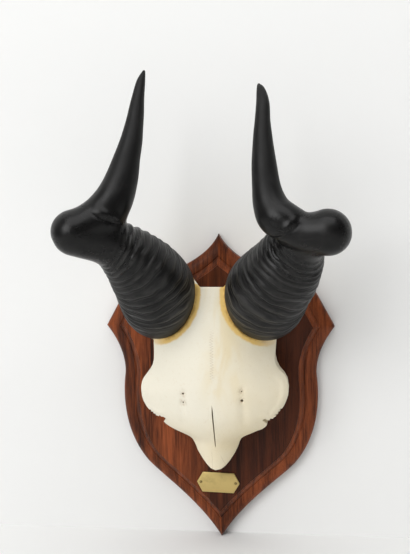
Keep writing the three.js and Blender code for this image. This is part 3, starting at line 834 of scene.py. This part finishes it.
def nearest_on_line(places, line):
    """For each place the distance to the line, how far along it, and the offset from it."""
    step = np.linalg.norm(np.diff(line, axis=0), axis=1)
    along = np.concatenate([[0], np.cumsum(step)])
    tangents = np.gradient(line, axis=0)
    tangents /= np.linalg.norm(tangents, axis=1)[:, None]
    index = np.concatenate([
        np.argmin(((part[:, None] - line[None]) ** 2).sum(2), axis=1) for part in np.array_split(places, 40)])
    offset = places - line[index]
    extra = np.clip((offset * tangents[index]).sum(1), -step.max(), step.max())
    offset = offset - extra[:, None] * tangents[index]
    return np.linalg.norm(offset, axis=1), along[index] + extra, offset, tangents[index], index


def ring_relief(places, along, tilt, settings):
    """Height of the rings from 0 in a groove to about 1 on a crest, the crests, and the count of rings."""
    spacing = settings.ring_spacing / MM
    warp = 0.34 * clouds(places, 30, 3) + 0.16 * clouds(places, 11, 7)
    phase = (along + tilt) / (spacing * (1 - 0.0014 * along)) + warp
    crest = (0.5 + 0.5 * np.cos(2 * math.pi * phase)) ** 1.7
    lesser = (0.5 + 0.5 * np.cos(2 * math.pi * (3 * phase + 0.8 * clouds(places, 16, 11)))) ** 1.5
    strength = 0.8 + 0.75 * clouds(places, 20, 17)
    return crest * strength * (1 - 0.25 * lesser) + 0.28 * lesser, crest, phase


def surface_normals(mesh):
    normals = np.empty(len(mesh.vertices) * 3, np.float32)
    mesh.vertices.foreach_get("normal", normals)
    return normals.reshape(-1, 3).astype(float)


def filleted(mesh, gaps, directions, reach, voxel):
    """Fills the crease between two round bodies, given each one's gap to the surface and outward direction."""
    opening = np.clip(1.3 * (1 - (directions[0] * directions[1]).sum(1)), 0, 1)
    share = np.clip(1 - np.maximum(*gaps) / reach, 0, 1)
    set_places(mesh, places_of(mesh) + surface_normals(mesh) * (share ** 2 * reach / 4 * opening)[:, None])
    return skinned(mesh, voxel)


def fold_relief(places, normals, fold):
    """A groove along a fold in the front of the elbow, with a swollen lip above it."""
    line = np.array(fold["line"], float)
    distance = line_distance(places, line)
    order = np.argsort(line[:, 0])
    above = smooth_step(places[:, 2] - np.interp(places[:, 0], line[order, 0], line[order, 1]), -1, 1.5)
    front = smooth_step(-normals[:, 1], 0.0, 0.35) * smooth_step(-places[:, 1], fold["depth"] - 12, fold["depth"])
    x = places[:, 0]
    fading = smooth_step(x, line[:, 0].min() - 2, line[:, 0].min() + 10)
    fading *= smooth_step(x, line[:, 0].max() + 2, line[:, 0].max() - 10)
    groove = np.exp(-(distance / 1.9) ** 2)
    lip = np.exp(-((distance - 5) / 3.6) ** 2) * above
    return front * fading * (fold["lip"] * lip - fold["groove"] * groove)


def horn_mesh(name, settings):
    spec = HORNS[name]
    side = spec["side"]
    bm = bmesh.new()
    add_tube(bm, *centres_and_radii(spec["column"], side, 70), 96, round_end=True)
    add_tube(bm, *centres_and_radii(spec["tip"], side, 110), 72, round_start=True, round_end=True)
    mesh = skinned(mesh_of(bm, name), settings.voxel)
    line, radii = centres_and_radii(spec["column"], side, 500)
    leg_line, leg_radii = centres_and_radii(spec["tip"], side, 500)

    def measured():
        places = places_of(mesh)
        column, leg = nearest_on_line(places, line), nearest_on_line(places, leg_line)
        return places, column, leg, column[0] - radii[column[-1]], leg[0] - leg_radii[leg[-1]]

    places, column, leg, column_gap, leg_gap = measured()
    outwards = [part[2] / np.maximum(part[0], 1e-6)[:, None] for part in (column, leg)]
    mesh = filleted(mesh, (column_gap, leg_gap), outwards, ELBOW_FILLET, settings.voxel)
    places, column, leg, _, _ = measured()
    calm = smooth_step(column[1], column[1].max() - 56, column[1].max() - 26) * smooth_step(leg[1], 78, 50)
    softened = places_of(with_modifiers(mesh, ("SMOOTH", {"factor": 0.5, "iterations": ELBOW_SOFTENING})))
    set_places(mesh, places + (softened - places) * calm[:, None])
    places, column, leg, column_gap, leg_gap = measured()
    distance, along, offset, tangent, _ = column
    on_column = smooth_step(leg_gap - column_gap, 0.5, 5)
    plane_point, plane_normal = rim_plane(side)
    ahead = -((places - np.array(plane_point)) @ np.array(plane_normal))
    length = along.max()
    view = np.array((0.1, -0.98, 0.14))
    towards = view - (tangent @ view)[:, None] * tangent
    towards /= np.linalg.norm(towards, axis=1)[:, None]
    relief, crest, phase = ring_relief(places, along, -RING_TILT * (offset * towards).sum(1), settings)
    ringed = on_column * smooth_step(ahead, *RIM_SMOOTH) * smooth_step(along, length - 24, length - 48)
    out = offset / np.maximum(distance, 1e-6)[:, None]
    height = settings.ring_height / MM
    lumps = 0.5 * clouds(places, 24, 23) * smooth_step(ahead, 2, 20)
    rounding = np.minimum(np.clip(1 - ahead / RIM_ROUND, 0, 1), 0.999)
    turned_in = (1 - np.sqrt(1 - rounding ** 2)) * RIM_ROUND * 0.5
    normals = surface_normals(mesh)
    places = places + out * (ringed * (relief - 0.6) * height - turned_in)[:, None]
    places = places + normals * (lumps + fold_relief(places, normals, FOLDS[name]))[:, None]
    set_places(mesh, places)
    set_attribute(mesh, "ringed", ringed)
    set_attribute(mesh, "crest", crest)
    set_attribute(mesh, "polish", smooth_step(leg[1], 84, 40) * smooth_step(along, length - 66, length - 40))
    set_attribute(mesh, "rim", 1 - smooth_step(ahead, 0.5, 3.5))
    turn = np.arctan2(offset[:, 2], offset[:, 0])
    ring_place = np.stack([1.3 * np.cos(turn), 1.3 * np.sin(turn), phase * 3.2], 1)
    set_attribute(mesh, "ring_place", ring_place, "FLOAT_VECTOR")
    set_attribute(mesh, "fibre_place", fibre_places(column, leg, on_column), "FLOAT_VECTOR")
    bm = bmesh.new()
    bm.from_mesh(mesh)
    cut_behind(bm, plane_point * MM, plane_normal)
    bm.to_mesh(mesh)
    bm.free()
    return mesh


def fibre_places(column, leg, on_column):
    """Texture places that run lengthwise along the horn, drawn out so that noise becomes fibres."""
    turn = np.where(on_column > 0.5, *(np.arctan2(part[2][:, 2], part[2][:, 0]) for part in (column, leg)))
    girth = np.where(on_column > 0.5, 10.0, 6.0)
    far = np.where(on_column > 0.5, column[1], leg[1] + 300)
    return np.stack([girth * np.cos(turn), girth * np.sin(turn), far * 0.06], 1)


# Skull cap

# Height, depth on the middle line, half width, and fall at that width
DOME = (
    (150, 78, 62, 22), (134, 79, 62, 22), (100, 81, 62, 24), (64, 83, 62, 23), (40, 84, 66, 20),
    (15, CROWN_DEPTH, 74, 18), (-4, 81.5, 66, 17), (-15, 79, 54, 14), (-28, 73.5, 46, 15), (-41, 66, 26, 16),
    (-55, 61, 20, 11), (-68, 57, 14, 7), (-84, 52, 8, 4),
)

# The cap's outline from the sawn top, down the picture's right side and up its left one
RIGHT_SIDE = (
    (11, 121.6), (40, 124), (62, 104), (64, 84), (61.6, 63.5), (60.3, 47), (61.6, 41), (65, 35.5),
    (69.5, 31), (72.7, 26), (74.1, 17.8), (73.6, 10), (71.9, 4.5), (69.5, -1.5), (67.6, -4.5),
)
RIGHT_TEETH = ((67.6, -4.5), (64.3, -8.5), (61.5, -13), (58.6, -15.4), (54.8, -17.4))
RIGHT_NOTCH = (
    (52.6, -17.2), (51.6, -15.2), (48.3, -14.6), (47.2, -15.8), (49.4, -17.2), (50.2, -19), (52.4, -20.8),
    (52, -23.4), (50.2, -25.6), (46.9, -28.4), (42, -29.6), (38.6, -31.6), (33.5, -34.4), (29.1, -36.4),
    (25.8, -39.4), (23.8, -43.5), (21.8, -49.5), (18.4, -56.2), (13.6, -63.6), (9, -69), (4.2, -72.4),
)
TIP = ((-1.4, -73.4),)
LEFT_NOTCH = (
    (-6.4, -71.4), (-10.6, -67), (-15.1, -61), (-19.4, -53.8), (-22.4, -47), (-25.6, -40.8), (-29.5, -37),
    (-35.2, -33.4), (-41, -30), (-46.8, -26.6), (-51.2, -23.2), (-52.8, -21.2), (-51.4, -19.2),
    (-49.4, -17.8), (-49.9, -16.1), (-52, -14.8), (-54.4, -15.2),
)
LEFT_TEETH = ((-54.4, -15.2), (-59.3, -15.2), (-64.6, -11.2), (-67.6, -8.4))
LEFT_SIDE = (
    (-70.1, -5), (-72.6, 0), (-74.1, 6.5), (-74.4, 15.5), (-73.6, 21), (-71.6, 25.4), (-68.2, 30),
    (-64.4, 35), (-61.7, 40), (-60.7, 45), (-60.9, 53.3), (-61.4, 63.5), (-64, 84), (-62, 104), (-40, 124),
    (-12.4, 122.2),
)


# Hollows in the back of the cap: centre across, in depth and in height, and radii
EYE_SOCKET = ((76, 30, 12), (40, 27, 38))
TEMPLE = ((80, 28, 58), (34, 24, 26))
NOSE_HOLLOW = ((0, 22, -76), (26, 26, 56))
FRONT_DEPTH = (40, 46)


def cap_outline():
    sides = (RIGHT_SIDE[:-1], RIGHT_TEETH, RIGHT_NOTCH, TIP, LEFT_NOTCH[:-1], LEFT_TEETH, LEFT_SIDE)
    return [place for side in sides for place in side]


def teeth_cutter(places, pitch, depth, seed):
    """Takes uneven little scallops out of a thin worn edge that runs along a broken line."""
    line = respaced(places, int(sum(math.dist(a, b) for a, b in zip(places, places[1:])) / pitch) * 4)
    inwards = inwards_from(line)
    draw = np.random.default_rng(seed)
    scallop = np.array([-0.3, 0.6, 1, 0.45] * (len(line) // 4 + 1))[:len(line)]
    uneven = np.repeat(draw.uniform(0.3, 1.2, len(line) // 4 + 1), 4)[:len(line)]
    inner = line + inwards * (scallop * uneven * depth)[:, None]
    outer = line - inwards * 4
    return prism([*inner, *outer[::-1]], BONE_REACH, 34)


def dome_depth(x, z):
    """Depth of the bone's front in front of the wall."""
    rows = flowing(DOME[::-1], 300)
    depth, half_width, fall = (np.interp(z, rows[:, 0], rows[:, k]) for k in (1, 2, 3))
    return np.maximum(depth - fall * (x / half_width) ** 2, SAWN_BACK + 1)


def dome_block():
    """The bone's domed front as a thick block, wider than the cap."""
    bm = bmesh.new()
    bmesh.ops.create_grid(bm, x_segments=90, y_segments=118, size=1)
    reach, low, high = 92, -84, 150
    for v in bm.verts:
        x, z = v.co.x * reach, low + (v.co.y + 1) / 2 * (high - low)
        v.co = (x, 0, z)
    places = np.array([v.co for v in bm.verts])
    for v, depth in zip(bm.verts, dome_depth(places[:, 0], places[:, 2])):
        v.co.y = -depth
    grown = bmesh.ops.extrude_face_region(bm, geom=bm.faces[:])
    for v in grown["geom"]:
        if isinstance(v, bmesh.types.BMVert):
            v.co.y = -SAWN_BACK
    return mesh_of(bm, "dome")


def pedicle_mesh(name):
    """The stump of bone that carries a horn, cut off in the plane of the horn's rim."""
    spec = HORNS[name]
    side = spec["side"]
    first, second, third = spec["column"][:3]
    root = [
        (first[0] - 10, first[1] - 5, SAWN_BACK + 4, 29), (first[0] - 5, first[1] - 1, 44, 34.5),
        (second[0], second[1], second[2], second[3] + 0.4), (third[0], third[1], third[2], third[3] + 0.4),
    ]
    bm = bmesh.new()
    add_tube(bm, *centres_and_radii(root, side, 24), 96)
    point, normal = rim_plane(side, -TOUCH_GAP)
    cut_behind(bm, point, -normal)
    cut_behind(bm, Vector((0, -SAWN_BACK, 0)), Vector((0, 1, 0)))
    return mesh_of(bm, "pedicle")


def horn_space(name):
    """The horn's outer form ahead of its rim, grown by the touching gap."""
    spec = HORNS[name]
    bm = bmesh.new()
    centres, radii = centres_and_radii(spec["column"], spec["side"], 60, TOUCH_GAP)
    add_tube(bm, centres, radii, 96)
    cut_behind(bm, *rim_plane(spec["side"], -TOUCH_GAP))
    return mesh_of(bm, "space")


def top_wedge():
    """What the saw took away between the horns, down towards the back."""
    fall, flare, height = 0.35, 28, 42
    half, high = SAWN_TOP_HALF_WIDTH, SAWN_TOP + height
    outline = [(half, SAWN_TOP), (half + flare, high), (-half - flare, high), (-half, SAWN_TOP)]
    mesh = prism(outline, BONE_REACH + 20, 0)
    places = places_of(mesh)
    places[:, 2] -= fall * (CROWN_DEPTH + places[:, 1])
    set_places(mesh, places)
    return mesh


def crack_mesh():
    """The open split along the nasal bones."""
    outline = [(-1.1, 3), (-0.2, -3), (0.55, -22), (0.5, -44.5), (0.1, -46.4), (-0.35, -44), (-0.7, -22), (-1.5, -6)]
    return prism(outline, BONE_REACH, 58)


def line_distance(places, line, closed=False):
    """Distance in the front view from each place to a broken line."""
    points = np.array(line, float)
    if closed:
        points = np.vstack([points, points[:1]])
    best = np.full(len(places), 1e9)
    xz = places[:, [0, 2]]
    for a, b in zip(points, points[1:]):
        run = b - a
        t = np.clip(((xz - a) @ run) / max(run @ run, 1e-9), 0, 1)
        best = np.minimum(best, np.linalg.norm(xz - a - t[:, None] * run, axis=1))
    return best


def skull_mesh(settings):
    outline = cap_outline()
    bone = combined(dome_block(), "INTERSECT", prism(outline, BONE_REACH, SAWN_BACK))
    for name in HORNS:
        bone = combined(bone, "UNION", pedicle_mesh(name))
    bone = cut(bone, top_wedge())
    for name, spec in HORNS.items():
        sockets = [ellipsoid((spec["side"] * x, depth, z), radii) for (x, depth, z), radii in (EYE_SOCKET, TEMPLE)]
        bone = cut(bone, horn_space(name), *sockets)
    bone = skinned(cut(bone, ellipsoid(*NOSE_HOLLOW)), settings.voxel, 3)
    places = places_of(bone)
    facing = smooth_step(-surface_normals(bone)[:, 1], 0.2, 0.6)
    front = facing * smooth_step(-places[:, 1], *FRONT_DEPTH)
    x, z = places[:, 0], places[:, 2]
    edge = line_distance(places, outline, closed=True)
    lip = np.exp(-((edge - 4.5) / 3.2) ** 2) * lobes(places)
    groove = np.exp(-((abs(x) - 30) / 4.5) ** 2) * smooth_step(z, 10, -2) * smooth_step(z, -26, -14)
    lift = 0.9 * lip + 0.45 * clouds(places, 26, 5) + 0.12 * clouds(places, 7, 2)
    lift = lift - 1.2 * foramen_hollows(places) - 1.0 * groove
    places[:, 1] -= front * lift
    set_places(bone, places)
    bone = cut(bone, crack_mesh(), teeth_cutter(RIGHT_TEETH, 3.1, 2.2, 4), teeth_cutter(LEFT_TEETH, 2.8, 2.0, 9))
    for fx, fz, radius in FORAMINA:
        profile = [(0, 70), (radius * 0.7, 71), (radius, BONE_REACH), (0, BONE_REACH)]
        bone = cut(bone, mesh_of(turned(profile, (fx, fz), 20), "hole"))
    bone = with_modifiers(bone, ("DECIMATE", {"ratio": settings.thinning}))
    places = places_of(bone)
    edge = line_distance(places, outline, closed=True)
    distance, beside = rim_distance(places)
    set_attribute(bone, "rim_distance", distance)
    set_attribute(bone, "band_side", beside)
    set_attribute(bone, "hollow", foramen_hollows(places) * smooth_step(-places[:, 1], *FRONT_DEPTH))
    set_attribute(bone, "edge", np.exp(-(edge / 5) ** 2) * lobes(places))
    return bone


def lobes(places):
    """1 on the thin plates over the eye sockets."""
    return smooth_step(abs(places[:, 0]), 44, 54) * smooth_step(places[:, 2], 36, 26)


def foramen_hollows(places):
    """1 at each small hole, fading to 0 a few millimetres away."""
    x, z = places[:, 0], places[:, 2]
    return np.max([np.exp(-(((x - fx) / 3.2) ** 2 + ((z - fz) / 4.5) ** 2)) for fx, fz, _ in FORAMINA], axis=0)


def rim_distance(places):
    """Distance to the nearer horn's rim, and 1 on the rim's inner and lower sides."""
    nearest = np.full(len(places), 20.0)
    beside = np.zeros(len(places))
    for spec in HORNS.values():
        side = spec["side"]
        line, radii = centres_and_radii(spec["column"], side, 300)
        distance, _, offset, _, index = nearest_on_line(places, line)
        point, normal = rim_plane(side)
        behind = (places - np.array(point)) @ np.array(normal)
        gap = np.hypot(np.maximum(distance - radii[index], 0), behind)
        inner = smooth_step(-side * offset[:, 0] / np.maximum(distance, 1e-6), -0.45, 0.25)
        beside = np.where(gap < nearest, inner, beside)
        nearest = np.minimum(gap, nearest)
    return nearest, beside


METAL_CRISP = 30


class TROPHY_OT_board(bpy.types.Operator):
    """Builds the moulded mahogany shield"""
    bl_idname = "trophy.board"
    bl_label = "Shield"

    def execute(self, context):
        settings = context.scene.trophy_board
        shown("shield", board_mesh(settings), mahogany_finish(settings), "plaque", 28)
        return {"FINISHED"}


class TROPHY_OT_skull(bpy.types.Operator):
    """Builds the sawn skull cap"""
    bl_idname = "trophy.skull"
    bl_label = "Skull cap"

    def execute(self, context):
        settings = context.scene.trophy_bone
        shown("skull_cap", skull_mesh(settings), bone_finish(settings), "skull_plate", 50)
        return {"FINISHED"}


class TROPHY_OT_horns(bpy.types.Operator):
    """Builds both horn sheaths"""
    bl_idname = "trophy.horns"
    bl_label = "Horns"

    def execute(self, context):
        settings = context.scene.trophy_horn
        material = horn_finish(settings)
        for name in HORNS:
            shown(f"horn_sheath_{name}", horn_mesh(name, settings), material, f"horn_{name}", 60)
        return {"FINISHED"}


class TROPHY_OT_label(bpy.types.Operator):
    """Builds the brass plate and its pins"""
    bl_idname = "trophy.label"
    bl_label = "Label plate"

    def execute(self, context):
        colour = context.scene.trophy_metal.brass
        bright = brushed_metal_finish("brass", tuple(colour), (0.06, 1, 1))
        shown("brass_plate", label_mesh(), bright, "label_plate", METAL_CRISP)
        dull = brushed_metal_finish("pin_brass", tuple(c * 0.45 for c in colour), (1, 1, 1))
        for name, side in SIDES.items():
            shown(f"brass_pin_{name}", pin_mesh(side), dull, f"label_pin_{name}", METAL_CRISP)
        return {"FINISHED"}


class TROPHY_OT_fixings(bpy.types.Operator):
    """Builds the keyhole hanger and the screws in the back"""
    bl_idname = "trophy.fixings"
    bl_label = "Fixings"

    def execute(self, context):
        steel = brushed_metal_finish("steel", tuple(context.scene.trophy_metal.steel), (0.08, 1, 1))
        shown("keyhole_hanger", hanger_mesh(), steel, "hanger_plate", METAL_CRISP)
        for name in SIDES:
            screw = screw_mesh(hanger_screw_place(name), HANGER_SCREW, TOUCH_GAP)
            shown(f"plate_screw_{name}", screw, steel, f"hanger_screw_{name}", METAL_CRISP)
        for name, centre in SKULL_SCREWS.items():
            screw = screw_mesh(centre, SKULL_SCREW, SKULL_SCREW["recess"])
            shown(f"bone_screw_{name}", screw, steel, f"skull_screw_{name}", METAL_CRISP)
        return {"FINISHED"}


# Stage

CAMERA = {"place": (99.268, -985.357, 258.152), "yaw": 6.643, "pitch": 8.0, "roll": -0.81, "lens": 61.73}

# Place and aim in metres, and size across and up
LIGHTS = {
    "key": ((-2.5, -4.4, 2.5), (0, -0.05, 0.05), (3.4, 3.4)),
    "top": ((0, -1.0, 2.0), (0, -0.05, 0.1), (2.4, 1.5)),
    "rear": ((0.5, 1.9, 0.9), (0, 0, 0), (1.6, 1.6)),
}
STAGE_REACH = 3.0
WALL_BEHIND = 0.002


def add_camera():
    """The camera at the photograph's place, looking slightly down and to the left."""
    yaw, pitch, roll = (math.radians(CAMERA[k]) for k in ("yaw", "pitch", "roll"))
    back = Vector((math.sin(yaw) * math.cos(pitch), -math.cos(yaw) * math.cos(pitch), math.sin(pitch)))
    right = (-back).cross(Vector((0, 0, 1))).normalized()
    up = right.cross(-back)
    right, up = right * math.cos(roll) + up * math.sin(roll), up * math.cos(roll) - right * math.sin(roll)
    camera = linked("camera", bpy.data.cameras.new("camera"))
    camera.data.lens = CAMERA["lens"]
    camera.data.clip_end = 20
    turn = Matrix((right, up, back)).transposed().to_4x4()
    camera.matrix_world = Matrix.Translation(Vector(CAMERA["place"]) * MM) @ turn
    bpy.context.scene.camera = camera


def add_light(name, place, aim, size, power):
    light = linked(name, bpy.data.lights.new(name, "AREA"))
    light.data.shape = "RECTANGLE"
    light.data.size, light.data.size_y = size
    light.data.energy = power
    light.location = place
    light.rotation_euler = (Vector(aim) - Vector(place)).to_track_quat("-Z", "Y").to_euler()


def staged(name, bm, material):
    """A sheet of the surroundings, which isn't part of the object."""
    mesh = mesh_from(bm, name)
    mesh.materials.append(material)
    linked(name, mesh)


def add_floor(level, material):
    bm = bmesh.new()
    corners = ((-1, -1), (1, -1), (1, 1), (-1, 1))
    bm.faces.new([bm.verts.new((x * STAGE_REACH, y * STAGE_REACH, level)) for x, y in corners])
    staged("floor", bm, material)


def add_wall(level, material):
    """A wall that is open where the shield covers it, so that light from the rear reaches the shield's back."""
    bm = bmesh.new()
    corners = [(-STAGE_REACH, level), (STAGE_REACH, level), (STAGE_REACH, STAGE_REACH), (-STAGE_REACH, STAGE_REACH)]
    for loop in (corners, shield_outline(5, 30) * MM):
        verts = [bm.verts.new((x, WALL_BEHIND, z)) for x, z in loop]
        for a, b in zip(verts, verts[1:] + verts[:1]):
            bm.edges.new((a, b))
    bmesh.ops.triangle_fill(bm, edges=bm.edges[:], normal=(0, -1, 0))
    for face in bm.faces:
        face.normal_update()
    bmesh.ops.reverse_faces(bm, faces=[face for face in bm.faces if face.normal.y > 0])
    staged("wall", bm, material)


def wall_finish(colour):
    """Pale paint that is seen from the front alone, so that the back of the part stays in view."""
    f = Finish("wall_paint")
    paint = f.node("ShaderNodeBsdfDiffuse", None, {"Color": (*colour, 1)})
    clear = f.node("ShaderNodeBsdfTransparent")
    behind = f.node("ShaderNodeNewGeometry", output="Backfacing")
    mixed = f.node("ShaderNodeMixShader", None, {0: behind, 1: paint, 2: clear})
    f.tree.links.new(mixed.socket, f.output.inputs["Surface"])
    return f.material


class TROPHY_OT_stage(bpy.types.Operator):
    """Sets up the camera, the soft lights, the pale floor and wall"""
    bl_idname = "trophy.stage"
    bl_label = "Stage"

    def execute(self, context):
        settings = context.scene.trophy_stage
        add_camera()
        pale = tuple(settings.pale)
        add_floor(CAD_LOW.z, floor_finish(pale))
        add_wall(CAD_LOW.z, wall_finish(pale))
        for name, (place, aim, size) in LIGHTS.items():
            add_light(name, place, aim, size, getattr(settings, f"{name}_power"))
        world = bpy.data.worlds.new("sky")
        world.use_nodes = True
        sky = world.node_tree.nodes["Background"].inputs
        sky["Strength"].default_value = settings.sky
        sky["Color"].default_value = (0.97, 0.985, 1, 1)
        context.scene.world = world
        context.scene.view_settings.view_transform = "Standard"
        return {"FINISHED"}


class TROPHY_PT_panel(bpy.types.Panel):
    bl_label = "Mounted skull"
    bl_idname = "TROPHY_PT_panel"
    bl_space_type = "VIEW_3D"
    bl_region_type = "UI"
    bl_category = "Trophy"

    def draw(self, context):
        for operator in OPERATORS:
            self.layout.operator(operator.bl_idname)
        for key in SETTINGS:
            group = getattr(context.scene, key)
            box = self.layout.box()
            for prop in group.__annotations__:
                box.prop(group, prop)


SETTINGS = {
    "trophy_board": BoardSettings, "trophy_bone": BoneSettings, "trophy_horn": HornSettings,
    "trophy_metal": MetalSettings, "trophy_stage": StageSettings,
}
OPERATORS = (TROPHY_OT_board, TROPHY_OT_skull, TROPHY_OT_horns, TROPHY_OT_label, TROPHY_OT_fixings, TROPHY_OT_stage)


def register():
    for cls in (*SETTINGS.values(), *OPERATORS, TROPHY_PT_panel):
        bpy.utils.register_class(cls)
    for key, group in SETTINGS.items():
        setattr(bpy.types.Scene, key, bpy.props.PointerProperty(type=group))


def unregister():
    for key in SETTINGS:
        delattr(bpy.types.Scene, key)
    for cls in reversed((*SETTINGS.values(), *OPERATORS, TROPHY_PT_panel)):
        bpy.utils.unregister_class(cls)


def main():
    register()
    for operator in (
        bpy.ops.trophy.board, bpy.ops.trophy.skull, bpy.ops.trophy.horns, bpy.ops.trophy.label,
        bpy.ops.trophy.fixings, bpy.ops.trophy.stage,
    ):
        operator()


if __name__ == "__main__":
    main()
